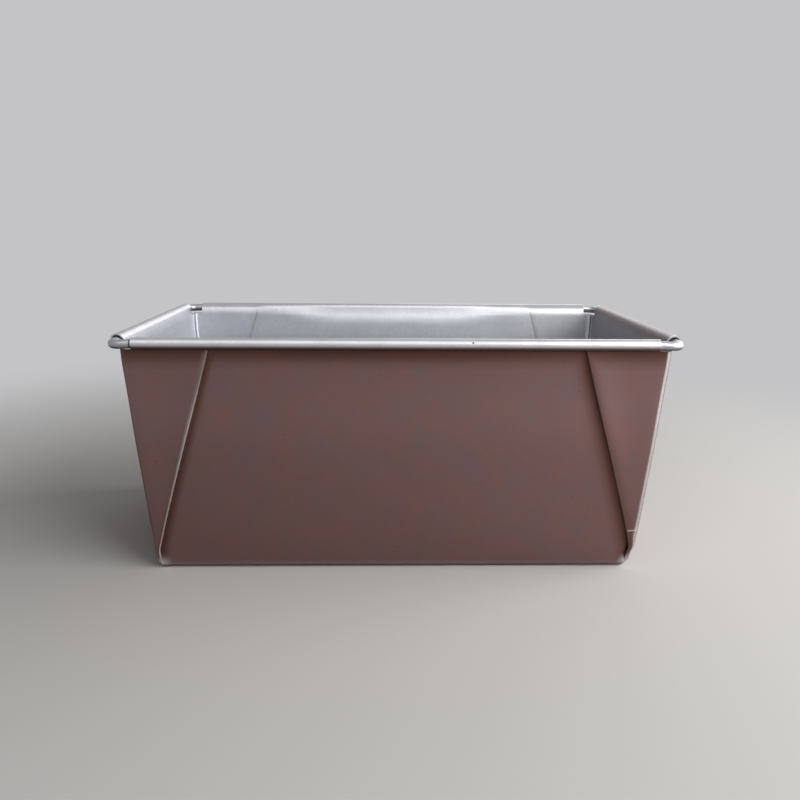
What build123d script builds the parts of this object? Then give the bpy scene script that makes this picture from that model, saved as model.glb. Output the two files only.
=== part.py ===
from build123d import *

import os
from math import acos, cos, degrees, radians, sin, tan

# A deep loaf pan, folded from one blank of aluminised steel.
# The spare sheet at each corner is folded flat against the long wall, outside,
# and the top edges are curled over a steel wire that shows bare at the corners.
# X runs along the pan, Y across it and Z up. The origin is the middle of the
# face that the pan stands on. Lengths are in millimetres and angles in degrees.

# Driving dimensions
mouth_length = 228.4  # inside the end walls, at the height of the wire
mouth_width = 127.4  # inside the long walls, at the height of the wire
wire_height = 103.7  # from the table to the middle of the wire
wall_draft = 4.5  # how far all four walls lean outwards
sheet_thickness = 0.6

# Bends of the sheet
floor_bend_radius = 4.5  # outside, where the floor turns up into a wall
floor_corner_extra = 1.5  # how much rounder, in plan, the floor's corners are pressed
corner_bend_radius = 2.2  # inside, where an end wall wraps round a folded corner

# Folded corners
flap_width = 36.4  # from the outside of the end wall to the fold, along the flap's top
flap_top_gap = 0.3  # from the flap's top edge up to the curl
flap_point_height = 3.1  # where the line of the fold would meet the corner
flap_root_flat = 2.0  # where no more than this is flat, the plies are pressed into one
fold_gap = 0.2  # left between two plies

# Wire ring
wire_diameter = 3.8
wire_bend_radius = 4.5  # at the middle of the wire
wire_end_gap = 0.4  # between the two ends of the wire, which meet in the rear rim

# Curled rims, tight on the long sides
long_curl_clearance = 0.1  # from the wire to the curl
long_curl_gap = 0.3  # from the curl's edge to the wall
long_bare_wire = 3.4  # straight wire left bare between the curl and the wire's bend

# Curled rims, looser on the ends
end_curl_clearance = 0.35
end_curl_gap = 0.8
end_curl_lift = 0.1  # how much higher than the wire the curl sits
end_bare_wire = 3.6

# Worked out from the values above
lean = tan(radians(wall_draft))
ply = sheet_thickness / cos(radians(wall_draft))  # one ply, measured level
wire_radius = wire_diameter / 2
floor_corner_radius = floor_bend_radius + floor_corner_extra


def inner_face(mouth, height):
    """How far the inner face of a wall is from the middle of the pan, at a height."""
    return mouth / 2 + (height - wire_height) * lean


def curl_radius(clearance):
    """The outer radius of a rim's curl."""
    return wire_radius + clearance + sheet_thickness


def curl_reach(mouth, clearance, lift):
    """How far the middle of a rim's curl is from the middle of the pan."""
    return inner_face(mouth, wire_height + lift) + curl_radius(clearance) / cos(radians(wall_draft))


wire_half_length = curl_reach(mouth_length, end_curl_clearance, end_curl_lift)
wire_half_width = curl_reach(mouth_width, long_curl_clearance, 0)
flap_top = wire_height - curl_radius(long_curl_clearance) - flap_top_gap
flap_root_width = flap_root_flat + corner_bend_radius + 2 * ply + fold_gap / 2
flap_root_height = flap_point_height + (flap_top - flap_point_height) * flap_root_width / flap_width


def corner_bends(height, skin):
    """The three bends of a folded corner at a height, from the long wall to the end wall.

    The sheet turns back on itself at the corner, turns again at the fold of the flap
    and then wraps round the corner into the end wall. skin 0 is the face that looks
    into the pan and skin 1 the face that looks out. Each bend is the start, the
    middle and the end of an arc.
    """
    end_x = inner_face(mouth_length, height)
    long_y = inner_face(mouth_width, height)
    width = flap_width * (height - flap_point_height) / (flap_top - flap_point_height)
    nose_x = end_x - corner_bend_radius
    nose_y = long_y + ply + fold_gap / 2
    fold_x = end_x + ply - width + ply + fold_gap / 2
    fold_y = nose_y + ply + fold_gap
    wrap_y = fold_y + fold_gap / 2 - corner_bend_radius
    nose = fold_gap / 2 + ply * (1 - skin)
    fold = fold_gap / 2 + ply * skin
    wrap = corner_bend_radius + ply * skin
    slant = wrap * cos(radians(45))
    return [
        [(nose_x, nose_y - nose), (nose_x + nose, nose_y), (nose_x, nose_y + nose)],
        [(fold_x, fold_y - fold), (fold_x - fold, fold_y), (fold_x, fold_y + fold)],
        [(nose_x, wrap_y + wrap), (nose_x + slant, wrap_y + slant), (nose_x + wrap, wrap_y)],
    ]


def folded_outline(height, skin):
    """One face of the folded sheet all the way round, as a closed wire at a height."""
    bends = []
    for x_side, y_side in ((1, 1), (1, -1), (-1, -1), (-1, 1)):
        corner = [[(x_side * x, y_side * y, height) for x, y in bend] for bend in corner_bends(height, skin)]
        if x_side != y_side:
            corner = [bend[::-1] for bend in corner[::-1]]
        bends += corner
    edges = []
    for before, bend in zip([bends[-1]] + bends, bends):
        edges.append(Edge.make_line(before[2], bend[0]))
        edges.append(Edge.make_three_point_arc(*bend))
    return Wire(edges)


def folded_walls():
    """The walls with their folded corners, from the roots of the flaps to their top edges."""
    heights = (flap_root_height, flap_top)
    outer, inner = [
        Solid.make_loft([folded_outline(height, skin) for height in heights], ruled=True)
        for skin in (1, 0)
    ]
    return outer - inner


def dish(low, skin):
    """A solid that fills the foot of the pan out to one face of the sheet."""
    sections = []
    for height, radius in ((low, floor_corner_radius - ply), (flap_root_height, corner_bend_radius)):
        length = 2 * (inner_face(mouth_length, height) + ply * skin)
        width = 2 * (inner_face(mouth_width, height) + ply * skin)
        outline = RectangleRounded(length, width, radius + ply * skin)
        sections.append(Pos(0, 0, height) * outline.wire())
    solid = Solid.make_loft(sections, ruled=True)
    bend_radius = floor_bend_radius - sheet_thickness * (1 - skin)
    return solid.fillet(bend_radius, solid.edges().group_by(Axis.Z)[0])


def flap_root():
    """The foot of one folded corner, which narrows down to a point on the floor's corner."""
    fold, wrap = corner_bends(flap_root_height, 1)[1:]
    inner_y = inner_face(mouth_width, flap_root_height) - corner_bend_radius
    end_foot = (wrap[2][0], inner_y)
    fold_foot = (fold[1][0], inner_y)
    section = Wire(
        [
            Line(end_foot, fold_foot),
            Line(fold_foot, fold[1]),
            TangentArc(fold[1], fold[2], tangent=(0, 1)),
            Line(fold[2], wrap[0]),
            ThreePointArc(*wrap),
            Line(wrap[2], end_foot),
        ]
    )
    inset = floor_corner_radius * (1 - cos(radians(45))) - ply
    point = Vertex(
        inner_face(mouth_length, floor_bend_radius) - inset,
        inner_face(mouth_width, floor_bend_radius) - inset,
        floor_bend_radius,
    )
    return Solid.make_loft([point, Pos(0, 0, flap_root_height) * section], ruled=True)


def four_corners(solid):
    """A solid in the corner at positive X and Y, with its mirror images in the others."""
    pair = [solid, mirror(solid, Plane.YZ)]
    return pair + [mirror(each, Plane.XZ) for each in pair]


def foot():
    """The floor and the foot of the walls, with the roots of the four flaps."""
    return dish(0, 1) + four_corners(flap_root()) - dish(sheet_thickness, 0)


def rim(mouth, clearance, gap, lift, half_length):
    """The top of one wall, above the flaps, with the curl that it ends in.

    It runs along Y, in its place at the positive end of the X axis.
    """
    outside = curl_radius(clearance)
    inside = outside - sheet_thickness
    middle_x = curl_reach(mouth, clearance, lift)
    start = 180 - wall_draft
    turn = 360 - degrees(acos(1 - (sheet_thickness + gap) / outside))

    def on_curl(radius, share):
        angle = radians(start - turn * share)
        return (middle_x + radius * cos(angle), wire_height + lift + radius * sin(angle))

    inner_foot = (inner_face(mouth, flap_top), flap_top)
    outer_foot = (inner_foot[0] + ply, flap_top)
    section = make_face(
        [
            Line(inner_foot, on_curl(outside, 0)),
            ThreePointArc(on_curl(outside, 0), on_curl(outside, 0.5), on_curl(outside, 1)),
            Line(on_curl(outside, 1), on_curl(inside, 1)),
            ThreePointArc(on_curl(inside, 1), on_curl(inside, 0.5), on_curl(inside, 0)),
            Line(on_curl(inside, 0), outer_foot),
            Line(outer_foot, inner_foot),
        ]
    )
    return extrude(Plane.XZ * section, amount=half_length, both=True)


def pan_body():
    """The folded blank: floor, walls, doubled corners and curled rims."""
    long_half = wire_half_length - wire_bend_radius - long_bare_wire
    end_half = wire_half_width - wire_bend_radius - end_bare_wire
    long_rim = rim(mouth_width, long_curl_clearance, long_curl_gap, 0, long_half)
    end_rim = rim(mouth_length, end_curl_clearance, end_curl_gap, end_curl_lift, end_half)
    rims = [Rot(0, 0, turn) * long_rim for turn in (90, -90)]
    rims += [Rot(0, 0, turn) * end_rim for turn in (0, 180)]
    return foot() + folded_walls() + rims


def rim_wire():
    """The wire that the rims are curled over, one length bent into a ring."""
    path = FilletPolyline(
        (wire_end_gap / 2, wire_half_width),
        (wire_half_length, wire_half_width),
        (wire_half_length, -wire_half_width),
        (-wire_half_length, -wire_half_width),
        (-wire_half_length, wire_half_width),
        (-wire_end_gap / 2, wire_half_width),
        radius=wire_bend_radius,
    )
    section = Plane(origin=path @ 0, z_dir=path % 0) * Circle(wire_radius)
    return Pos(0, 0, wire_height) * sweep(section, path=path)


if __name__ == "__main__":
    os.makedirs("parts", exist_ok=True)
    for name, solid in (("pan_body", pan_body()), ("rim_wire", rim_wire())):
        export_step(solid, f"parts/{name}.step")
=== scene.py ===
from math import acos, cos, exp, hypot, pi, radians, sin, sqrt, tan

import bmesh
import bpy
from mathutils import Matrix, Vector, noise


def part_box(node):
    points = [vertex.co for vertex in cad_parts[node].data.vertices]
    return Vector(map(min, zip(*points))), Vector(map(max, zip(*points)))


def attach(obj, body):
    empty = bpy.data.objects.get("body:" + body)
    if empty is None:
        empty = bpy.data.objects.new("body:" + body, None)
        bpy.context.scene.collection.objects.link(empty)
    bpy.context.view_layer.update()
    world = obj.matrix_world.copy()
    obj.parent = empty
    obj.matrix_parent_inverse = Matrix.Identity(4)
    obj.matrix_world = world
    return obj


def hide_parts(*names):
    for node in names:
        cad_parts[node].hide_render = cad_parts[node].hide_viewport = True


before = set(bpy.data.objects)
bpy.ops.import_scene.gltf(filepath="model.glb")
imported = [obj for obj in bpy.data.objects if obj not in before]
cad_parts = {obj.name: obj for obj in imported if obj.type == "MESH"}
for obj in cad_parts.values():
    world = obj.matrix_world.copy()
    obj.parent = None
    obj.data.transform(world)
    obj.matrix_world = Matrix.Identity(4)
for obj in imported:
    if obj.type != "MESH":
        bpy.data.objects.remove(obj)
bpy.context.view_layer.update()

# The folded blank.
# One sheet of aluminised steel, folded up into a pan. The spare sheet at each corner
# is folded flat on the outside of the long wall, and the rims are curled over a wire.
mm = 0.001
sheet = 0.6 * mm
draft = radians(4.5)  # how far the walls lean out
lean = tan(draft)
ply = sheet / cos(draft)  # thickness of a leaning wall, measured level
pan_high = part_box("pan_body")[1]
wire_low, wire_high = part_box("rim_wire")
wire_radius = (wire_high.z - wire_low.z) / 2
wire_z = (wire_high.z + wire_low.z) / 2
wire_x = wire_high.x - wire_radius
wire_y = wire_high.y - wire_radius
wire_bend = 4.5 * mm  # radius of the wire's middle line at the corners
long_curl = pan_high.y - wire_y  # outer radius of the curl on a long side
end_curl = pan_high.x - wire_x  # and on an end, where it is looser
end_lift = pan_high.z - end_curl - wire_z  # how much higher an end's curl lies than the wire
mouth_x = wire_x - end_curl / cos(draft) - end_lift * lean  # the inner faces, level with the wire
mouth_y = wire_y - long_curl / cos(draft)
floor_bend = 4.5 * mm  # outer radius where the floor turns up
floor_corner = 4.8 * mm  # outer radius of the floor's pressed corners, in plan
inner_corner = 3.0 * mm  # radius of a corner inside the pan
wrap_radius = 2.6 * mm  # outer radius where an end wall wraps round a folded corner
flap_width = 36.4 * mm  # of a flap at its top
flap_point = 3.1 * mm  # height of the point that a flap's fold aims at
flap_least = 2.4 * mm  # the width that a flap narrows to at its root
flap_clear = 0.3 * mm  # between a flap's top and the curl
flap_top = wire_z - long_curl - flap_clear
long_cut = wire_x - wire_bend - 3.4 * mm  # where a long side's curl is cut off
end_cut = wire_y - wire_bend - 3.6 * mm
curl_edge_gap = {"long": 0.3 * mm, "end": 0.8 * mm}  # from a curl's edge to the wall
fold_gap = 0.2 * mm
fold_radius = (2 * ply + fold_gap) / 2
fold_depth = 1.3 * mm  # how deep the gap under a fold is modelled
fold_approach = 0.8 * mm  # how far before a fold its fine columns start

# How many columns and rows the mesh has, over a quarter of the pan.
middle_columns = 30  # half of a long wall, between the flaps
gap_columns = 4  # in the gap under a fold
fold_steps = 6  # round a fold
fold_columns = gap_columns + fold_steps
flap_columns = 15
wrap_steps = 8  # round a folded corner
side_steps = 4  # from there along the end wall to the cut of its curl
end_columns = 30  # half of an end wall
floor_rows = 10  # from the middle of the floor to its bend
bend_rows = 8
root_rows = 20  # where the flaps come out of the corners of the floor
wall_rows = 30  # from there up
curl_rows = 34  # round each face of a rim


def rising(value, step):
    """0 below a step and 1 above it. The step is where it starts, and its length."""
    start, length = step
    share = min(max((value - start) / length, 0.0), 1.0)
    return share * share * (3 - 2 * share)


def falling(value, step):
    """1 below a step and 0 above it. The step is where it ends, and its length."""
    end, length = step
    return rising(-value, (-end, length))


def hill(offset, width):
    """1 at no offset, dying away to almost nothing at twice the width."""
    return exp(-((offset / width) ** 2))


def between(start, end, share):
    return start + (end - start) * share


def sign(value):
    return 1 if value > 0 else -1


def inner_x(z):
    """Where the inner face of an end wall is at a height."""
    return mouth_x + (z - wire_z) * lean


def inner_y(z):
    """Where the inner face of a long wall is at a height."""
    return mouth_y + (z - wire_z) * lean


def flap_reach(z):
    """How far a flap reaches from the outside of the end wall."""
    return max(flap_width * (z - flap_point) / (flap_top - flap_point), flap_least)


def fold_line(z):
    """How far from the middle of the pan the fold of a flap crosses a long wall."""
    return inner_x(z) + ply - flap_reach(z)


corner_rise = (0.6 * mm, 5.5 * mm)  # heights over which a folded corner comes out of the sheet
root_wrap = 0.6  # the most of a narrow flap that its wrapped corner takes up
root_inset = 0.4  # and the most that lies past the cut of the curl
mouth_inset = inner_x(flap_top) + ply - wrap_radius - long_cut
end_inset = inner_y(flap_top) - end_cut


def wrap_at(reach):
    return min(wrap_radius, root_wrap * (reach - fold_radius))


def sheet_columns(edge_x, reach):
    """Where the sheet's columns cross a long wall, from its middle to the cut of the curl.

    edge_x is the inner face of the end wall. The columns crowd together at the fold.
    """
    fold_x = edge_x + ply - reach
    wrap_x = edge_x + ply - wrap_at(reach)
    start = fold_x - fold_approach
    bulge = fold_x + fold_radius
    cut_x = wrap_x - min(mouth_inset, root_inset * (wrap_x - fold_x - fold_radius))
    columns = [start * i / middle_columns for i in range(middle_columns)]
    columns += [between(start, bulge, i / fold_columns) for i in range(fold_columns + 1)]
    columns += [between(bulge, cut_x, (i + 1) / flap_columns) for i in range(flap_columns)]
    return columns


def corner_places(half_x, half_y, radius, start_x, end_y, count):
    """Evenly spaced places round a rounded corner, between two places on its outline."""
    centre_x, centre_y = half_x - radius, half_y - radius
    turn = acos(min(max((start_x - centre_x) / radius, 0.0), 1.0))
    before = max(centre_x - start_x, 0.0)
    after = max(centre_y - end_y, 0.0)
    whole = before + radius * turn + after
    places = []
    for i in range(1, count + 1):
        run = whole * i / (count + 1)
        if run < before:
            places.append((start_x + run, half_y))
        elif run < before + radius * turn:
            angle = turn - (run - before) / radius
            places.append((centre_x + radius * cos(angle), centre_y + radius * sin(angle)))
        else:
            places.append((half_x, centre_y - (run - before - radius * turn)))
    return places


def on_outline(half_x, half_y, radius, x):
    """The place on a rounded rectangle's long side or corner, at an x."""
    over = max(x - (half_x - radius), 0.0)
    return (x, half_y - radius + sqrt(max(radius * radius - over * over, 0.0)))


def mix_places(first, second, share):
    return [(between(a, c, share), between(b, d, share)) for (a, b), (c, d) in zip(first, second)]


def end_places(half_x, half_y, edge_y):
    """The cut of an end's curl and the columns from there to the middle of the end wall."""
    cut_y = max(edge_y - end_inset, half_y / 2)
    return [(half_x, cut_y * (1 - i / end_columns)) for i in range(end_columns + 1)]


flap_dish = 0.7 * mm  # how far the middle of a flap is pressed in
dish_shift = 0.85  # below 1, a dish is deepest nearer the fold than the corner


def outer_quarter(half_x, half_y, radius, reach, folded, gap_open):
    """The face that looks out, from the middle of a long wall to the middle of an end wall."""
    columns = sheet_columns(half_x - ply, reach)
    ends = end_places(half_x, half_y, half_y - ply)
    plain = [on_outline(half_x, half_y, radius, x) for x in columns]
    plain += corner_places(half_x, half_y, radius, columns[-1], ends[0][1], wrap_steps + side_steps)
    if folded == 0:
        return plain + ends
    fold_x = half_x - reach
    bulge = fold_x + fold_radius
    fold_y = half_y + fold_gap + fold_radius
    flap_y = fold_y + fold_radius
    wrap = wrap_at(reach)
    arc = []
    shut_arc = []
    for i in range(fold_steps + 1):
        angle = pi * (i / fold_steps - 0.5)
        place = (bulge - fold_radius * cos(angle), fold_y + fold_radius * sin(angle))
        arc.append(place)
        shut_arc.append((fold_x, place[1]) if angle < 0 else place)
    gap = [
        (fold_x - fold_approach, half_y),
        (fold_x + fold_approach / 4, half_y),
        (fold_x + fold_depth, half_y),
        (fold_x + fold_depth, half_y + fold_gap),
    ]
    shut_gap = [gap[0]] + [(fold_x, half_y + fold_gap * share) for share in (0, 0.3, 0.6)]
    fold = mix_places(shut_gap + shut_arc, gap + arc, gap_open)
    middle = [(x, half_y) for x in columns[:middle_columns]]
    flap = []
    dish = flap_dish * rising(reach, (0, flap_width))
    for x in columns[middle_columns + fold_columns + 1:]:
        share = (x - bulge) / max(half_x - wrap - bulge, mm)
        flap.append((x, flap_y - dish * sin(pi * min(share, 1.0) ** dish_shift)))
    corner = [(half_x - wrap, flap_y)]
    for i in range(1, wrap_steps + 1):
        angle = pi / 2 * (1 - i / wrap_steps)
        corner.append((half_x - wrap + wrap * cos(angle), flap_y - wrap + wrap * sin(angle)))
    drop = flap_y - wrap - ends[0][1]
    corner += [(half_x, flap_y - wrap - drop * i / side_steps) for i in range(1, side_steps)]
    return mix_places(plain, middle + fold + flap + corner, folded) + ends


seam_half_gap = 0.12 * mm  # of the seam inside each corner
seam_lip = 0.5 * mm
seam_depth = 1.25 * mm
seam_side_steps = 4  # from the seam to either end of its corner


def inner_quarter(half_x, half_y, radius, reach, folded):
    """The face that looks into the pan, over the same columns, with the seam in its corner."""
    columns = sheet_columns(half_x, reach)
    ends = end_places(half_x, half_y, half_y)
    places = [on_outline(half_x, half_y, radius, x) for x in columns]
    lip = []
    for turn in (0, pi / 6, pi / 3):
        lip.append((seam_half_gap + seam_lip * (1 - sin(turn)), seam_lip * (1 - cos(turn))))
    lip += [(seam_half_gap, seam_lip), (seam_half_gap, seam_depth)]
    profile = [(-across, depth) for across, depth in lip] + lip[::-1]
    half_turn = (seam_half_gap + seam_lip) / radius
    middle = pi / 4
    steps = seam_side_steps
    turns = [(between(pi / 2, middle + half_turn, i / steps), 0) for i in range(steps)]
    turns += [(middle - across / radius, depth) for across, depth in profile]
    turns += [(between(middle - half_turn, 0, (i + 1) / steps), 0) for i in range(steps)]
    centre_x, centre_y = half_x - radius, half_y - radius
    seam = [(centre_x + (radius + d) * cos(a), centre_y + (radius + d) * sin(a)) for a, d in turns]
    seam.append((half_x, between(centre_y, ends[0][1], 0.5)))
    plain = corner_places(half_x, half_y, radius, columns[-1], ends[0][1], len(seam))
    return places + mix_places(plain, seam, folded) + ends


def all_round(quarter, signed=True):
    """A closed ring from one quarter, with its mirror images, from the middle of the front."""
    last = len(quarter) - 1
    flip = -1 if signed else 1
    ring = [(x, flip * y) for x, y in quarter[:last]]
    ring += [(x, y) for x, y in quarter[last:0:-1]]
    ring += [(flip * x, y) for x, y in quarter[:last]]
    ring += [(flip * x, flip * y) for x, y in quarter[last:0:-1]]
    return ring


root_top = 24 * mm  # below here the rows are close together, for the flaps' roots
round_in = 10 * mm  # how far up a corner takes to tighten from the floor's radius
crease_z = 19 * mm  # height of the crease above the dented corner
crease_rows = [crease_z + 0.35 * mm * step for step in (-1, 0, 1)]
least_corner = 0.01 * mm
floor_share = 0.4  # the most of the floor's inner rings that a corner takes up


def skin_rings(outside):
    """The rings of one face of the sheet, from the middle of the floor to the flaps' tops."""
    thick = ply if outside else 0.0
    radius = floor_bend if outside else floor_bend - sheet
    centre_x = inner_x(floor_bend) + ply - floor_bend / cos(draft)
    centre_y = inner_y(floor_bend) + ply - floor_bend / cos(draft)
    floor_z = 0.0 if outside else sheet
    core = floor_corner - floor_bend
    rings = []

    def ring(z, half_x, half_y, corner, reach, folded, gap_open=1.0):
        corner = max(min(corner, floor_share * half_y), least_corner)
        if outside:
            quarter = outer_quarter(half_x, half_y, corner, reach, folded, gap_open)
        else:
            quarter = inner_quarter(half_x, half_y, corner, reach, folded)
        rings.append([(x, y, z) for x, y in all_round(quarter)])

    for i in range(floor_rows):
        inset = centre_y * (1 - i / floor_rows)
        ring(floor_z, centre_x - inset, centre_y - inset, core, flap_least, 0.0)
    for i in range(bend_rows + 1):
        angle = (pi / 2 - draft) * i / bend_rows
        out = radius * sin(angle)
        z = floor_bend - radius * cos(angle)
        ring(z, centre_x + out, centre_y + out, core + out, flap_least, rising(z, corner_rise))
    bend_top = floor_bend - radius * cos(pi / 2 - draft)
    heights = [between(bend_top, root_top, i / root_rows) for i in range(1, root_rows)]
    heights += [between(root_top, flap_top - mm, i / wall_rows) for i in range(wall_rows + 1)]
    for z in sorted(heights + crease_rows) + [flap_top]:
        corner = between(floor_corner - sheet, inner_corner, rising(z, (bend_top, round_in))) + thick
        gap_open = 0.0 if z == flap_top else 1.0
        half_x, half_y = inner_x(z) + thick, inner_y(z) + thick
        ring(z, half_x, half_y, corner, flap_reach(z), rising(z, corner_rise), gap_open)
    return rings


def curl_middle(kind):
    """How far out the middle of a rim's curl is, and how high."""
    return (wire_y, wire_z) if kind == "long" else (wire_x, wire_z + end_lift)


def curl_profile(kind):
    """The section of a rim from the inside of the wall, round the curl and back to its outside.

    Each place is how far out it is and how high.
    """
    radius = long_curl if kind == "long" else end_curl
    middle, height = curl_middle(kind)
    face = inner_y(flap_top) if kind == "long" else inner_x(flap_top)
    start = pi - draft
    turn = 2 * pi - acos(1 - (sheet + curl_edge_gap[kind]) / radius)
    angles = [start - turn * i / curl_rows for i in range(curl_rows + 1)]
    profile = [(middle + radius * cos(a), height + radius * sin(a)) for a in angles]
    radius -= sheet
    profile += [(middle + radius * cos(a), height + radius * sin(a)) for a in angles[::-1]]
    profile.append((face + ply, flap_top))
    return profile


# How a hand-rolled curl is uneven, and the nick in the left one.
rolled_share = 0.012  # of the curl's radius
rolled_run = 14 * mm  # from one tight place to the next, about
rolled_seed = {"front": 18.5, "right": 18.5, "back": 14.8, "left": 14.8}  # in the noise
nick_y = -26 * mm
nick_share = 0.12
nick_half = 1.8 * mm
nick_side = (-0.5 * mm, mm)  # from the middle of the curl outwards


def uneven(run, out, z, side, kind):
    """A place on a rim's section, moved in a little where the hand-rolled curl is uneven."""
    middle, height = curl_middle(kind)
    if z <= flap_top:
        return out, z
    spot = Vector((run / rolled_run, rolled_seed[side], 0.5))
    tight = rolled_share * (1 + noise.noise(spot))
    if side == "left":
        tight += nick_share * hill(run - nick_y, nick_half) * rising(out - middle, nick_side)
    return middle + (out - middle) * (1 - tight), height + (z - height) * (1 - tight)


# How the long walls let go of the flaps and flare out below the rim.
rim_flare = 1.3 * mm
flare_heights = (55 * mm, 35 * mm)
flare_walls = (40 * mm, 15 * mm)  # how far from the pan's middle line, so not on the ends
let_go_high, let_go_low = 101.5 * mm, 96.5 * mm  # by a flap and in the middle of a wall
let_go_run = 50 * mm
let_go_rise = 7 * mm
held_heights = (103.2 * mm, 2.6 * mm)  # beside and under a flap
by_flap_edge = (-1.2 * mm, 1.8 * mm)
groove_deep = 0.07 * mm  # of the line that a fold presses into the wall
groove_half = 0.5 * mm
groove_heights = (25 * mm, 15 * mm)
rim_fade = 2 * mm  # how soon it all dies out round the curl


def drawn_in(ax, ay, z):
    """How far a long wall is drawn in, with a fine groove where a fold is pressed on it.

    The flaps hold their part of the wall up to the curl. Between them it flares out.
    """
    past_fold = ax - fold_line(z)
    to_middle = falling(ax, (fold_line(flap_top), let_go_run))
    free = 1 - rising(z, (between(let_go_high, let_go_low, to_middle), let_go_rise))
    held = 1 - rising(z, held_heights)
    base = rim_flare * rising(z, flare_heights) * rising(ay, flare_walls)
    groove = groove_deep * hill(past_fold, groove_half) * rising(z, groove_heights)
    outer_side = rising(ay, (mouth_y + sheet, rim_fade)) if z > flap_top else 0.0
    below_rim = 1 - rising(z, (flap_top, rim_fade))
    inward = base * between(free, held, rising(past_fold, by_flap_edge))
    return inward * (1 - outer_side) - groove * below_rim


# The faint waves of hand-bent sheet, which die out at bends and rims.
wall_wave = 0.28 * mm
long_wave_run = 70 * mm
end_wave_run = 50 * mm
wave_height = 55 * mm
wave_apart = 25 * mm  # across the pan, so that walls that face each other differ
end_wave_seed = 9  # in the noise, so that the ends differ from the long walls
calm_foot = (8 * mm, 20 * mm)
calm_rim = (flap_top, 15 * mm)
calm_long = (-12 * mm, 20 * mm)  # near the corners, along a long wall
calm_end = (-6 * mm, 15 * mm)
on_wall = (-3 * mm, 2 * mm)


def slack(x, y, z):
    """How far the waves move a place in x and in y."""
    past_x, past_y = abs(x) - inner_x(z), abs(y) - inner_y(z)
    calm = rising(z, calm_foot) * falling(z, calm_rim)
    along = Vector((x / long_wave_run, y / wave_apart, z / wave_height))
    across = Vector((x / wave_apart + end_wave_seed, y / end_wave_run, z / wave_height))
    on_long = falling(past_x, calm_long) * calm * rising(past_y, on_wall)
    on_end = falling(past_y, calm_end) * calm * rising(past_x, on_wall)
    return wall_wave * noise.noise(across) * on_end, wall_wave * noise.noise(along) * on_long


# The dent in the front right corner of the foot: where it is, how far it pushes the sheet,
# and the crease, kink and valley that it bends into the flap above.
dent_place = (110 * mm, -62 * mm)
dent_push = (-2.6 * mm, 2.0 * mm, 0.9 * mm)
dent_round = (12 * mm, 12 * mm)
dent_heights = (13 * mm, 12 * mm)
flap_side = (-0.8 * mm, 1.2 * mm)  # from the fold
wall_face = (-mm, mm)  # from the inner face of a wall
kink_slope = 0.1
kink_foot = (2 * mm, 6 * mm)
ridge_high = 0.14 * mm
ridge_half = 0.5 * mm
valley_deep = 0.8 * mm
valley_half = 1.2 * mm
valley_past = -1.1 * mm  # from the fold
valley_top = (18 * mm, 7 * mm)
valley_foot = (2 * mm, 5 * mm)


def near_crease(z, half):
    """1 on the crease, and 0 from half its width above and below it."""
    return max(1 - abs(z - crease_z) / half, 0.0)


def knocked(x, y, z):
    """The dent in one bottom corner: it is pushed in below a crease across the flap's foot."""
    to_dent = hypot(x - dent_place[0], y - dent_place[1])
    push = falling(to_dent, dent_round) * falling(z, dent_heights)
    past_fold = abs(x) - fold_line(z)
    on_flap = rising(past_fold, flap_side) * rising(abs(y) - inner_y(z), wall_face)
    kink = kink_slope * max(crease_z - z, 0.0) * rising(z, kink_foot) * on_flap
    ridge = ridge_high * near_crease(z, ridge_half) * on_flap
    valley = valley_deep * hill(past_fold - valley_past, valley_half)
    valley *= falling(z, valley_top) * rising(z, valley_foot)
    pushed_x, pushed_y, pushed_z = (at + push * far for at, far in zip((x, y, z), dent_push))
    return pushed_x, pushed_y + kink - ridge + valley, pushed_z


def to_foot(x, y, z, point):
    """How far a place is from a point at the foot of a corner.

    The point is how far past the inner faces of the end and the long wall, and how high.
    """
    return hypot(abs(x) - inner_x(z) - point[0], abs(y) - inner_y(z) - point[1], z - point[2])


end_bow = 0.35 * mm  # how far the ends bow out
bow_ends = (80 * mm, 20 * mm)
bow_foot = (6 * mm, 20 * mm)
bow_top = (flap_top + mm, 8 * mm)
foot_spread = 1.0 * mm  # how far the pressed points at the corners of the foot stick out
spread_point = (-1.0 * mm, -1.2 * mm, 1.0 * mm)
spread_half = 3 * mm


def settled(place):
    """A place on the crisp folded sheet, moved to where the used pan's sheet really lies."""
    x, y, z = place
    wave_x, wave_y = slack(x, y, z)
    bow = end_bow * rising(abs(x), bow_ends) * rising(z, bow_foot) * falling(z, bow_top)
    inward = drawn_in(abs(x), abs(y), z)
    x, y = x + wave_x + sign(x) * bow, y + wave_y - sign(y) * inward
    if x > 0 > y:
        return knocked(x, y, z)
    spread = foot_spread * hill(to_foot(x, y, z, spread_point), spread_half)
    return x + sign(x) * spread, y + sign(y) * spread, z


# Where the skin is rubbed to bare metal, and where highlights are painted in the same bright
# bare colour, from 0 to 1. The painted highlights follow the light from the right: the front's
# left fold and right corner are bright, its right fold and left corner are kept dark, and its
# left fold's highlight fades near the top. The crease, the feet and the bottom bend get painted
# highlights too.
flap_edge_wear_and_highlight = 0.3  # where a fold runs out into its flap
wrap_wear_and_highlight = 0.75  # where the end wall wraps round the corner
fold_wear_and_highlight = {(-1, -1): 1.0, (1, -1): 0.1, (-1, 1): 0.7, (1, 1): 0.7}  # by the signs of x and y
corner_wear_and_highlight = {(-1, -1): 0.1, (1, -1): 1.3, (-1, 1): 0.4, (1, 1): 0.4}
left_fold_highlight_fade = 0.6  # how much of its painted highlight fades out near the top
left_fold_heights = (65 * mm, 28 * mm)
edge_foot = (0.4 * mm, 2.5 * mm)
# A painted highlight along the crease across the dented flap.
crease_highlight = 0.5
crease_half = 0.4 * mm
front_face = (0.2 * mm, 0.3 * mm)
foot_wear_and_glint = 1.2  # over 1, so that the middle of the spot, worn and painted as a glint, is quite bright
foot_point = (-0.8 * mm, 1.0 * mm, 2.2 * mm)
foot_half = 2.8 * mm
scuff_wear_and_sheen = 0.22  # all round the foot, where it slides on shelves, with a painted sheen along the bottom bend
scuff_heights = (4.5 * mm, 3 * mm)


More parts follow.
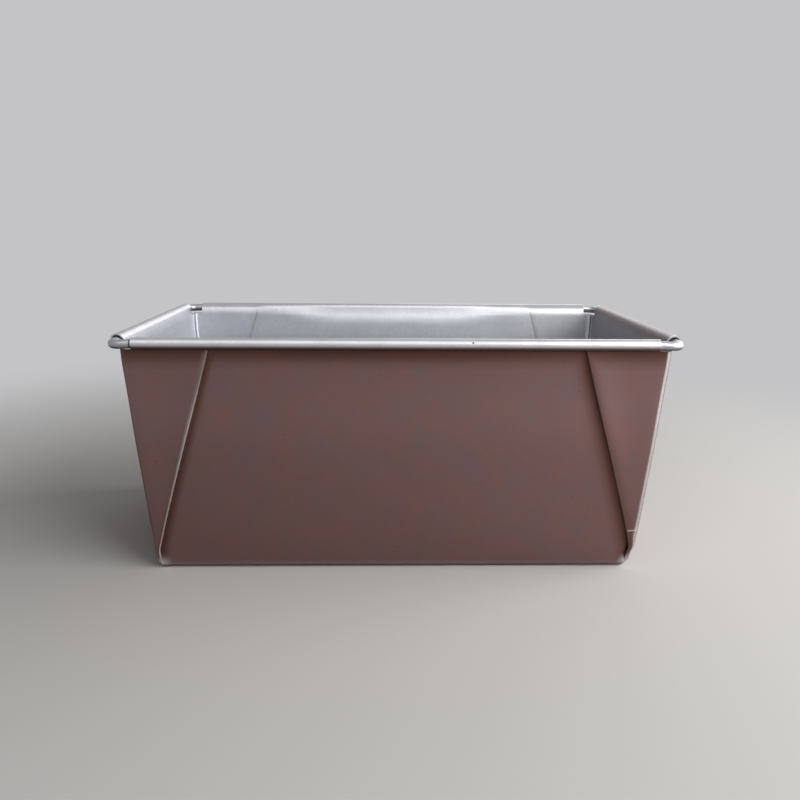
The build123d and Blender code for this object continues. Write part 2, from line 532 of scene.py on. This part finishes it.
def wear_and_highlight_columns():
    """How much wear and painted highlight each outer column gets, as a fold and as a corner."""
    fold = [0.0] * gap_columns
    fold += [sin(pi * i / fold_steps) ** 0.5 for i in range(fold_steps)] + [flap_edge_wear_and_highlight]
    corner = [0.0] + [wrap_wear_and_highlight * sin(pi * i / wrap_steps) for i in range(1, wrap_steps + 1)]
    wear_highlight_shares = [(0.0, 0.0)] * middle_columns + [(share, 0.0) for share in fold]
    wear_highlight_shares += [(0.0, 0.0)] * flap_columns + [(0.0, share) for share in corner]
    return wear_highlight_shares + [(0.0, 0.0)] * (side_steps + end_columns)


def wear_and_highlight_at(place, fold, corner):
    """The wear and painted highlight at a place whose column has this much as a fold and as a corner.
    """
    x, y, z = place
    pan_corner = (sign(x), sign(y))
    fold *= fold_wear_and_highlight[pan_corner]
    if pan_corner == (-1, -1):
        fold *= 1 - left_fold_highlight_fade * rising(z, left_fold_heights)
    edge = (fold + corner * corner_wear_and_highlight[pan_corner]) * rising(z, edge_foot)
    on_flap = rising(x - fold_line(z), (0, mm)) * rising(-y - inner_y(z), front_face)
    crease = crease_highlight * near_crease(z, crease_half) * on_flap
    foot = foot_wear_and_glint * hill(to_foot(x, y, z, foot_point), foot_half)
    scuff = scuff_wear_and_sheen * falling(z, scuff_heights)
    return min(max(edge, crease, foot, scuff), 1.0)


# How much brown residue and painted shade each place holds, from 0 to 1. Inside: the line
# along a fold, residue with painted shade in its groove; painted shade under a curl's edge;
# the right end and rim, darkened as painted shade where they face away from the light; the
# left rim, darker on its outer side, and its nick; and the faint clouds on all the rims.
flap_end = (flap_top + mm, mm)
# Residue with painted shade along the groove that a fold presses inside.
fold_line_grime_and_shade = 0.35
fold_line_half = 0.6 * mm
# Painted shade under a curl's edge.
under_curl_shade = 0.95
under_curl_shade_heights = (wire_z + 0.1 * mm, 1.4 * mm)
under_curl_shade_past = (-1.4 * mm, mm)
# Painted shade on the right end and its rim, which face away from the light.
right_end_shade, right_rim_shade = 0.4, 0.35
right_rim_heights = (wire_z - 4 * mm, 4 * mm)
# The left rim is darker on its outer side.
left_rim_darkening = 0.4
left_rim_past = (wire_x - 0.3 * mm, 1.2 * mm)
nick_grime = 0.9
nick_grime_half = 1.5 * mm
rim_tan, rim_tan_change = 0.1, 0.8
rim_cloud = 9 * mm
rim_cloud_seed = 4.2


def grime_and_shade_inside(x, y, z):
    """The residue and painted shade on the bare side of the sheet, which goes on round the curls."""
    past_fold = abs(x) - fold_line(z)
    on_long = rising(abs(y) - inner_y(z), wall_face) * falling(z, flap_end)
    line = fold_line_grime_and_shade * hill(past_fold, fold_line_half) * rising(z, groove_heights)
    past_wire = max(abs(x) - wire_x, abs(y) - wire_y)
    under_curl = under_curl_shade * falling(z, under_curl_shade_heights) * rising(past_wire, under_curl_shade_past)
    right = right_end_shade + right_rim_shade * rising(z, right_rim_heights)
    right *= rising(x - inner_x(z), wall_face)
    left = left_rim_darkening * rising(-x, left_rim_past)
    nick = nick_grime * hill(y - nick_y, nick_grime_half) * rising(-x, (wire_x, mm))
    spot = Vector((x / rim_cloud, y / rim_cloud, rim_cloud_seed))
    cloud = 1 + rim_tan_change * noise.noise(spot)
    clouded = rim_tan * cloud * rising(z, (flap_top, mm))
    return max(line * on_long, under_curl, right, left, nick, clouded)


# Outside: the stain at a fold, wider on the wall than on the flap, and widened at the dented
# right fold into painted shade beside it; painted shade, with residue, in a band under the rim;
# and painted shade in the valley and on the flap's foot below the crease.
stain_half = 2.0 * mm
# At the dented right fold the stain widens into painted shade beside the fold.
dented_stain_and_shade_half = 4.0 * mm
stain_less = 0.8 * mm  # how much narrower it is on the flap
flap_stain = 0.6
# Painted shade, with brown residue, in a band under the rim.
under_rim_shade_and_residue = 0.9
rim_band_heights = (flap_top - 9 * mm, 9 * mm)
# Painted shade in the dented valley and on the flap's foot below the crease.
valley_shade_half = 1.5 * mm
valley_shade_foot = (4 * mm, 3 * mm)
flap_foot_shade = 0.3


def grime_and_shade_outside(x, y, z):
    """The residue and painted shade on the browned side of the sheet."""
    past_fold = abs(x) - fold_line(z)
    on_long = rising(abs(y) - inner_y(z), wall_face)
    dented = x > 0 > y
    half = dented_stain_and_shade_half if dented else stain_half
    if past_fold < 0:
        by_fold = hill(past_fold, half)
    else:
        by_fold = flap_stain * hill(past_fold, half - stain_less)
    by_fold *= on_long * falling(z, flap_end)
    under_rim = under_rim_shade_and_residue * rising(z, rim_band_heights)
    facet = 0.0
    if dented and z < crease_z:
        valley = hill(past_fold + valley_shade_half, valley_shade_half) * rising(z, valley_shade_foot)
        facet = max(valley, flap_foot_shade if past_fold > 0 else 0.0) * on_long
    return max(by_fold, under_rim, facet)


slant = {("front", 1): 1.5 * mm, ("front", -1): 0.8 * mm}  # how far a curl's cut slants back
slant_run = (90 * mm, 12 * mm)  # from the middle of the pan, so that only the cut slants
slant_turn = (0, 0.4 * curl_rows)  # it grows as the sheet goes round the wire
rim_wear = {"long": 0.25, "end": 0.2}  # the faint polish of a bare rim
cut_edge_highlight = 0.55  # a painted highlight on the cut ends of the two end curls, which keep only half their residue and painted shade
cut_edge_darkening_kept = 0.5


def rim_row(top, step, out, z, side, kind):
    """One row of a rim, over the top of its wall, at one step round the curl's section."""
    outward = -1 if side in ("front", "left") else 1
    row = []
    for x, y, _ in top:
        run = x if kind == "long" else y
        back = slant.get((side, sign(run)), 0.0) * rising(step, slant_turn)
        run -= sign(run) * back * rising(abs(run), slant_run)
        across, height = uneven(run, out, z, side, kind)
        across *= outward
        row.append((run, across, height) if kind == "long" else (across, run, height))
    return row


def stretch(ring, middle, before, after):
    """The part of a ring between two places, counted from the middle of a side."""
    middle *= len(ring) // 4
    return [ring[i % len(ring)] for i in range(middle - before, middle + after + 1)]


def build_pan():
    """Both faces of the sheet and its four rims, as one closed mesh."""
    crisp, vertices, faces = [], [], []
    marks = {"outside": [], "wear_and_highlight": [], "grime_and_shade": []}

    def add_ring(ring, outside, wear_highlight_shares):
        first = len(vertices)
        darkened = grime_and_shade_outside if outside else grime_and_shade_inside
        crisp.extend(ring)
        vertices.extend(settled(place) for place in ring)
        marks["outside"] += [float(outside)] * len(ring)
        marks["wear_and_highlight"] += wear_highlight_shares or [0.0] * len(ring)
        marks["grime_and_shade"] += [darkened(*place) for place in ring]
        return list(range(first, len(vertices)))

    def join(first, second, closed=False):
        count = len(first)
        for i in range(count if closed else count - 1):
            j = (i + 1) % count
            faces.append((first[i], first[j], second[j], second[i]))

    wear_highlight_ring = all_round(wear_and_highlight_columns(), signed=False)
    tops = {}
    for outside in (True, False):
        rings = []
        for ring in skin_rings(outside):
            wear_highlight_shares = None
            if outside:
                wear_highlight_shares = [wear_and_highlight_at(place, *worn_and_lit) for place, worn_and_lit in zip(ring, wear_highlight_ring)]
            rings.append(add_ring(ring, outside, wear_highlight_shares))
        for below, above in zip(rings, rings[1:]):
            join(below, above, closed=True)
        tops[outside] = rings[-1]

    cut = middle_columns + fold_columns + flap_columns
    rim_feet = []
    for index, side in enumerate(("front", "right", "back", "left")):
        kind = "long" if side in ("front", "back") else "end"
        half = cut if kind == "long" else end_columns
        inner, outer = (stretch(tops[outside], index, half, half) for outside in (False, True))
        top = [crisp[i] for i in inner]
        profile = curl_profile(kind)
        rows = [inner]
        for step, (out, z) in enumerate(profile):
            row = rim_row(top, step, out, z, side, kind)
            past_edge = step > curl_rows + 1
            wear_highlight_shares = [rim_wear[kind] * (1 - grime_and_shade_inside(*place)) for place in row]
            rows.append(add_ring(row, past_edge, None if past_edge else wear_highlight_shares))
            if kind == "end" and step < len(profile) - 1:
                for cut_edge in (rows[-1][0], rows[-1][-1]):
                    marks["outside"][cut_edge] = 0.0
                    marks["grime_and_shade"][cut_edge] *= cut_edge_darkening_kept
                    marks["wear_and_highlight"][cut_edge] = cut_edge_highlight
        for below, row in zip(rows, rows[1:] + [outer]):
            join(below, row)
        for last in (0, -1):
            faces.append(tuple(row[last] for row in rows))
        rim_feet.append((rows[-1][0], rows[-1][-1]))

    for index in range(4):
        near, far = (cut, end_columns) if index % 2 == 0 else (end_columns, cut)
        outer, inner = (
            stretch(ring, index, -near, len(ring) // 4 - far) for ring in (tops[True], tops[False])
        )
        before, after = rim_feet[index][1], rim_feet[(index + 1) % 4][0]
        faces.append(tuple(outer + [after] + inner[::-1] + [before]))
    mesh = bpy.data.meshes.new("pan_sheet")
    mesh.from_pydata(vertices, [], faces)
    for name, values in marks.items():
        mesh.attributes.new(name, "FLOAT", "POINT").data.foreach_set("value", values)
    return mesh


merge_within = 0.002 * mm
sheet_edge = radians(38)  # a sharper turn than this shows as an edge
pan_mesh = build_pan()
made = bmesh.new()
made.from_mesh(pan_mesh)
bmesh.ops.remove_doubles(made, verts=made.verts, dist=merge_within)
bmesh.ops.recalc_face_normals(made, faces=made.faces)
made.to_mesh(pan_mesh)
made.free()
for face in pan_mesh.polygons:
    face.use_smooth = True
pan_mesh.set_sharp_from_angle(angle=sheet_edge)
pan = bpy.data.objects.new("folded_pan", pan_mesh)
bpy.context.collection.objects.link(pan)

mottle_size = 14 * mm  # the cloudy patches that baking leaves
fleck_size = 1.6 * mm  # the coating's grain: really about 0.5 mm, drawn coarser so that it shows
fleck_share = 0.6  # how much grain there is in the mottle
fleck_rough = 0.12  # how much rougher the grain makes the metal
fleck_bump = 0.1 * mm
bare_rough, browned_rough = 0.36, 0.38
polished_from, polished_by = 0.6, 0.18  # how worn metal gets smoother
speck_apart = 6 * mm
speck_left_out = 0.75  # three specks in four are left out
speck_rim, speck_core = 0.06, 0.03  # of the distance between specks
speck_dark = 0.7
pit_place = (30.4 * mm, -wire_y - 2.3 * mm, wire_z + 1.2 * mm)
pit_rim, pit_core = 0.5 * mm, 0.3 * mm


def linear(hexed):
    """An sRGB hex colour as a linear colour."""
    values = [int(hexed[i:i + 2], 16) / 255 for i in (1, 3, 5)]
    return [v / 12.92 if v <= 0.04045 else ((v + 0.055) / 1.055) ** 2.4 for v in values] + [1.0]


def add(tree, kind, sockets=None, **settings):
    """Adds a node with its settings, and sets or links its inputs by name or number."""
    node = tree.nodes.new(kind)
    for name, value in settings.items():
        setattr(node, name, value)
    for name, value in (sockets or {}).items():
        if isinstance(value, bpy.types.NodeSocket):
            tree.links.new(value, node.inputs[name])
        else:
            node.inputs[name].default_value = value
    return node


def aluminised_steel():
    """Steel dipped in aluminium: a soft, slightly mottled silver, browned outside by baking, with a
    painted warm reflection in that brown.

    The vertex attributes say where the browned skin, the rubbed metal with its painted highlights, and
    the residue with its painted shade are.
    """
    material = bpy.data.materials.new("aluminised_steel")
    material.use_nodes = True
    tree = material.node_tree
    tree.nodes.clear()
    place = add(tree, "ShaderNodeTexCoord").outputs["Object"]
    outside, wear_and_highlight, grime_and_shade = (
        add(tree, "ShaderNodeAttribute", attribute_name=name).outputs["Fac"]
        for name in ("outside", "wear_and_highlight", "grime_and_shade")
    )
    mottle = add(
        tree,
        "ShaderNodeTexNoise",
        {"Vector": place, "Scale": 1 / mottle_size, "Detail": 9.0, "Roughness": 0.75},
    )
    fleck = add(tree, "ShaderNodeTexNoise", {"Vector": place, "Scale": 1 / fleck_size, "Detail": 3.0})
    grain = add(
        tree,
        "ShaderNodeMath",
        {0: fleck.outputs["Fac"], 1: fleck_share, 2: mottle.outputs["Fac"]},
        operation="MULTIPLY_ADD",
    )
    patch = add(
        tree,
        "ShaderNodeMapRange",
        {"Value": grain.outputs["Value"], "From Min": 0.58, "From Max": 1.02},
    )
    # The bare metal's faint blue is partly its own tint and partly a painted cool reflection.
    bare = add(
        tree,
        "ShaderNodeMix",
        {"Factor": patch.outputs["Result"], "A": linear("#c6c8ce"), "B": linear("#b7b9be")},
        data_type="RGBA",
    )
    # The browned skin: partly real baking, partly a painted warm reflection that darkens the outside.
    browned_and_reflected = add(
        tree,
        "ShaderNodeMix",
        {"Factor": patch.outputs["Result"], "A": linear("#88655e"), "B": linear("#79676a")},
        data_type="RGBA",
    )
    skin = add(
        tree,
        "ShaderNodeMix",
        {"Factor": outside, "A": bare.outputs["Result"], "B": browned_and_reflected.outputs["Result"]},
        data_type="RGBA",
    )
    # Residue, and painted shade along the fold lines, under the curls and rim, in the dented valley
    # and on the right end, darken towards this brown.
    darkened = add(
        tree,
        "ShaderNodeMix",
        {"Factor": grime_and_shade, "A": skin.outputs["Result"], "B": linear("#583a2e")},
        data_type="RGBA",
    )
    # The bright bare colour shows rubbed metal and also paints highlights on folds, corners, the
    # crease, the feet and the curls' cut ends.
    worn_and_lit = add(
        tree,
        "ShaderNodeMix",
        {"Factor": wear_and_highlight, "A": darkened.outputs["Result"], "B": linear("#e2dddd")},
        data_type="RGBA",
    )
    cells = add(tree, "ShaderNodeTexVoronoi", {"Vector": place, "Scale": 1 / speck_apart})
    draw = add(tree, "ShaderNodeSeparateColor", {"Color": cells.outputs["Color"]})
    kept = add(
        tree,
        "ShaderNodeMath",
        {0: draw.outputs["Red"], 1: speck_left_out},
        operation="GREATER_THAN",
    )
    dot = add(
        tree,
        "ShaderNodeMapRange",
        {
            "Value": cells.outputs["Distance"],
            "From Min": speck_rim,
            "From Max": speck_core,
            "To Max": speck_dark,
        },
    )
    specks = add(
        tree,
        "ShaderNodeMath",
        {0: kept.outputs["Value"], 1: dot.outputs["Result"]},
        operation="MULTIPLY",
    )
    to_pit = add(tree, "ShaderNodeVectorMath", {0: place, 1: pit_place}, operation="DISTANCE")
    pit = add(
        tree,
        "ShaderNodeMapRange",
        {"Value": to_pit.outputs["Value"], "From Min": pit_rim, "From Max": pit_core},
    )
    spots = add(
        tree,
        "ShaderNodeMath",
        {0: specks.outputs["Value"], 1: pit.outputs["Result"]},
        operation="MAXIMUM",
    )
    spotted = add(
        tree,
        "ShaderNodeMix",
        {"Factor": spots.outputs["Value"], "A": worn_and_lit.outputs["Result"], "B": linear("#2e211c")},
        data_type="RGBA",
    )
    unworn = add(
        tree,
        "ShaderNodeMapRange",
        {"Value": outside, "To Min": bare_rough, "To Max": browned_rough},
    )
    satin = add(
        tree,
        "ShaderNodeMath",
        {0: fleck.outputs["Fac"], 1: fleck_rough, 2: unworn.outputs["Result"]},
        operation="MULTIPLY_ADD",
    )
    polish = add(
        tree,
        "ShaderNodeMapRange",
        {"Value": wear_and_highlight, "From Min": polished_from, "To Max": polished_by},
    )
    rough = add(
        tree,
        "ShaderNodeMath",
        {0: satin.outputs["Value"], 1: polish.outputs["Result"]},
        operation="SUBTRACT",
    )
    bump = add(
        tree,
        "ShaderNodeBump",
        {"Height": fleck.outputs["Fac"], "Strength": 0.12, "Distance": fleck_bump},
    )
    # The outside's edge shine is tinted brown, partly as a painted warm reflection.
    edge_tint = add(
        tree,
        "ShaderNodeMix",
        {"Factor": outside, "A": linear("#ffffff"), "B": linear("#857672")},
        data_type="RGBA",
    )
    shader = add(
        tree,
        "ShaderNodeBsdfPrincipled",
        {
            "Base Color": spotted.outputs["Result"],
            "Specular Tint": edge_tint.outputs["Result"],
            "Metallic": 1.0,
            "Roughness": rough.outputs["Value"],
            "Normal": bump.outputs["Normal"],
        },
    )
    add(tree, "ShaderNodeOutputMaterial", {"Surface": shader.outputs["BSDF"]})
    return material


pan.data.materials.append(aluminised_steel())
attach(pan, "root")
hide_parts("pan_body")

# The rim wire.
# One length of drawn steel wire, bent into a ring. The rims are curled over it and it
# shows bare at the corners, where it bulges and sags a little between the curls.
wire_gap = 0.4 * mm  # between its two ends, inside the back rim
corner_bulge = 0.5 * mm
corner_sag = 0.4 * mm
end_slack = 0.22 * mm  # how low the wire lies in the looser curls of the ends
bend_points = 12  # round a corner of the ring
round_points = 24  # round the wire
wire_edge = radians(50)  # a sharper turn than this shows as an edge
mark_size = 1.1 * mm  # the draw marks: really about 0.1 mm, drawn coarser so that they show
mark_bump = 0.1 * mm
steel_rough = (0.38, 0.48)  # between and on the marks
shade_top, shade_foot = wire_z - 0.7 * mm, wire_z - 1.9 * mm  # painted shade: the wire's underside is darkened
shade_shift = 1.0 * mm  # on the right, where the cut slants more, the painted shade stays further in
# Where the painted shade beside a long curl's cut begins and is full.
shade_out, shade_in = long_cut - 0.7 * mm, long_cut - 1.2 * mm


def wire_path():
    """The middle of the wire as a chain of points, from one of its ends to the other."""
    half = [(wire_gap / 2, wire_y, 0), (long_cut, wire_y, 0)]
    half.append((wire_x + corner_bulge, wire_y + corner_bulge, -corner_sag))
    half.append((wire_x, end_cut, -end_slack))
    right = half + [(x, -y, z) for x, y, z in half[:0:-1]]
    chain = right + [(-x, y, z) for x, y, z in right[::-1]]
    mesh = bpy.data.meshes.new("wire_path")
    points = [(x, y, wire_z + z) for x, y, z in chain]
    mesh.from_pydata(points, [(i, i + 1) for i in range(len(points) - 1)], [])
    return mesh


def drawn_steel():
    """Drawn steel wire: a plain bright grey, with fine draw marks that soften its shine, and painted
    shade on its underside and beside the curls' cuts.
    """
    material = bpy.data.materials.new("drawn_steel")
    material.use_nodes = True
    tree = material.node_tree
    tree.nodes.clear()
    place = add(tree, "ShaderNodeTexCoord").outputs["Object"]
    marks = add(tree, "ShaderNodeTexNoise", {"Vector": place, "Scale": 1 / mark_size, "Detail": 5.0})
    steel = add(
        tree,
        "ShaderNodeMix",
        {"Factor": marks.outputs["Fac"], "A": linear("#b9bbc0"), "B": linear("#97989c")},
        data_type="RGBA",
    )
    # Painted shade: the underside, and the wire beside each cut, darken towards a dark brown.
    part = add(tree, "ShaderNodeSeparateXYZ", {"Vector": place})
    low = add(
        tree,
        "ShaderNodeMapRange",
        {"Value": part.outputs["Z"], "From Min": shade_top, "From Max": shade_foot},
    )
    shifted = add(tree, "ShaderNodeMath", {0: part.outputs["X"], 1: shade_shift}, operation="ADD")
    run = add(tree, "ShaderNodeMath", {0: shifted.outputs["Value"]}, operation="ABSOLUTE")
    by_curl = add(
        tree,
        "ShaderNodeMapRange",
        {"Value": run.outputs["Value"], "From Min": shade_out, "From Max": shade_in},
    )
    wire_shade = add(
        tree,
        "ShaderNodeMath",
        {0: low.outputs["Result"], 1: by_curl.outputs["Result"]},
        operation="MAXIMUM",
    )
    tint = add(
        tree,
        "ShaderNodeMix",
        {"Factor": wire_shade.outputs["Value"], "A": steel.outputs["Result"], "B": linear("#4a3a34")},
        data_type="RGBA",
    )
    rough = add(
        tree,
        "ShaderNodeMapRange",
        {"Value": marks.outputs["Fac"], "To Min": steel_rough[0], "To Max": steel_rough[1]},
    )
    bump = add(
        tree,
        "ShaderNodeBump",
        {"Height": marks.outputs["Fac"], "Strength": 0.15, "Distance": mark_bump},
    )
    shader = add(
        tree,
        "ShaderNodeBsdfPrincipled",
        {
            "Base Color": tint.outputs["Result"],
            "Metallic": 1.0,
            "Roughness": rough.outputs["Result"],
            "Normal": bump.outputs["Normal"],
        },
    )
    add(tree, "ShaderNodeOutputMaterial", {"Surface": shader.outputs["BSDF"]})
    return material


def bent_wire():
    """A node tree that rounds a path's corners and draws a round wire along it."""
    tree = bpy.data.node_groups.new("bent_wire", "GeometryNodeTree")
    inlets = {
        "Path": "NodeSocketGeometry",
        "Wire Radius": "NodeSocketFloat",
        "Bend Radius": "NodeSocketFloat",
        "Steel": "NodeSocketMaterial",
    }
    for name, kind in inlets.items():
        tree.interface.new_socket(name, in_out="INPUT", socket_type=kind)
    tree.interface.new_socket("Wire", in_out="OUTPUT", socket_type="NodeSocketGeometry")
    given = add(tree, "NodeGroupInput").outputs
    line = add(tree, "GeometryNodeMeshToCurve", {"Mesh": given["Path"]})
    bent = add(
        tree,
        "GeometryNodeFilletCurve",
        {"Curve": line.outputs["Curve"], "Radius": given["Bend Radius"], "Count": bend_points},
        mode="POLY",
    )
    section = add(
        tree,
        "GeometryNodeCurvePrimitiveCircle",
        {"Radius": given["Wire Radius"], "Resolution": round_points},
    )
    drawn = add(
        tree,
        "GeometryNodeCurveToMesh",
        {"Curve": bent.outputs["Curve"], "Profile Curve": section.outputs["Curve"], "Fill Caps": True},
    )
    real = add(tree, "GeometryNodeRealizeInstances", {"Geometry": drawn.outputs["Mesh"]})
    dressed = add(
        tree,
        "GeometryNodeSetMaterial",
        {"Geometry": real.outputs["Geometry"], "Material": given["Steel"]},
    )
    add(tree, "NodeGroupOutput", {"Wire": dressed.outputs["Geometry"]})
    return tree


def grown(name, mesh, tree, values):
    """Runs a node tree on a mesh and keeps the result as a plain mesh object."""
    piece = bpy.data.objects.new(name, mesh)
    bpy.context.collection.objects.link(piece)
    modifier = piece.modifiers.new(tree.name, "NODES")
    modifier.node_group = tree
    for item in tree.interface.items_tree:
        if item.name in values:
            modifier[item.identifier] = values[item.name]
    ready = piece.evaluated_get(bpy.context.evaluated_depsgraph_get())
    plain = bpy.data.meshes.new_from_object(ready)
    piece.modifiers.remove(modifier)
    piece.data = plain
    return piece


wire = grown(
    "rim_wire_ring",
    wire_path(),
    bent_wire(),
    {"Wire Radius": wire_radius, "Bend Radius": wire_bend, "Steel": drawn_steel()},
)
for face in wire.data.polygons:
    face.use_smooth = True
wire.data.set_sharp_from_angle(angle=wire_edge)
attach(wire, "root")
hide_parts("rim_wire")

# The floor and backdrop.
# Pale paper that runs out of sight: far away it fades into the even grey around it.
surround = linear("#c4c4c6")
paper_radius = 6000 * mm
paper_sides = 96
fade_start, fade_end = 140 * mm, 600 * mm
bpy.ops.mesh.primitive_circle_add(vertices=paper_sides, radius=paper_radius, fill_type="NGON")
floor = bpy.context.object
floor.name = "floor"


def pale_paper():
    """Matt backdrop paper, with no gloss of its own."""
    material = bpy.data.materials.new("pale_paper")
    material.use_nodes = True
    tree = material.node_tree
    tree.nodes.clear()
    place = add(tree, "ShaderNodeTexCoord").outputs["Object"]
    away = add(tree, "ShaderNodeVectorMath", {0: place}, operation="LENGTH")
    fade = add(
        tree,
        "ShaderNodeMapRange",
        {"Value": away.outputs["Value"], "From Min": fade_start, "From Max": fade_end},
        interpolation_type="SMOOTHERSTEP",
    )
    paper = add(tree, "ShaderNodeBsdfDiffuse", {"Color": linear("#b4b2af")})
    beyond = add(tree, "ShaderNodeEmission", {"Color": surround})
    both = add(
        tree,
        "ShaderNodeMixShader",
        {0: fade.outputs["Result"], 1: paper.outputs["BSDF"], 2: beyond.outputs["Emission"]},
    )
    add(tree, "ShaderNodeOutputMaterial", {"Surface": both.outputs["Shader"]})
    return material


floor.data.materials.append(pale_paper())

# The light.
# A large soft lamp stands to the right, a little in front. Two weaker ones, behind the pan
# and high up in front of it, keep the inside and the rims from being too dark.
world = bpy.data.worlds.new("surround")
bpy.context.scene.world = world
world.use_nodes = True
sky = world.node_tree
sky.nodes.clear()
# The eye and the shiny metal see the pale surround, which gives off a weaker light.
ray = add(sky, "ShaderNodeLightPath").outputs
shown = add(
    sky,
    "ShaderNodeMath",
    {0: ray["Is Camera Ray"], 1: ray["Is Glossy Ray"]},
    operation="MAXIMUM",
)
shade = add(
    sky,
    "ShaderNodeMix",
    {"Factor": shown.outputs["Value"], "A": linear("#4c4d50"), "B": surround},
    data_type="RGBA",
)
even = add(sky, "ShaderNodeBackground", {"Color": shade.outputs["Result"]})
add(sky, "ShaderNodeOutputWorld", {"Surface": even.outputs["Background"]})
lamp_aim = Vector((0, 0, 50)) * mm  # the middle of the pan


def lamp(name, place, size, watts):
    """A soft rectangular lamp that points at the pan. Its place and size are in metres."""
    data = bpy.data.lights.new(name, "AREA")
    data.shape = "RECTANGLE"
    data.size, data.size_y = size
    data.energy = watts
    stand = bpy.data.objects.new(name, data)
    stand.location = place
    stand.rotation_euler = (lamp_aim - Vector(place)).to_track_quat("-Z", "Y").to_euler()
    stand.visible_camera = False
    bpy.context.collection.objects.link(stand)


lamp("side_lamp", place=(0.7, -0.25, 0.4), size=(1.3, 0.8), watts=16)
lamp("rear_lamp", place=(0.4, 0.8, 0.45), size=(0.9, 0.7), watts=3)
lamp("top_lamp", place=(0.0, -0.6, 0.75), size=(1.2, 0.8), watts=3)

# The camera.
# It stands where the photograph was taken from, low in front and a little left.
camera_place = Vector((-6.63, -377.3, 153.8)) * mm
pitch, yaw, roll = 0.23154, -0.02392, 0.00763  # radians
ahead = Vector((-sin(yaw) * cos(pitch), cos(yaw) * cos(pitch), -sin(pitch)))
level = Vector((cos(yaw), sin(yaw), 0))
upright = level.cross(ahead)
to_right = cos(roll) * level + sin(roll) * upright
to_top = cos(roll) * upright - sin(roll) * level
eye = bpy.data.cameras.new("camera")
eye.lens = 34.56  # millimetres, as the sensor is
eye.sensor_width = 36
eye.clip_start = 10 * mm
camera = bpy.data.objects.new("camera", eye)
turn = Matrix((to_right, to_top, -ahead)).transposed().to_4x4()
camera.matrix_world = Matrix.Translation(camera_place) @ turn
bpy.context.collection.objects.link(camera)
bpy.context.scene.camera = camera
bpy.context.scene.view_settings.view_transform = "Standard"
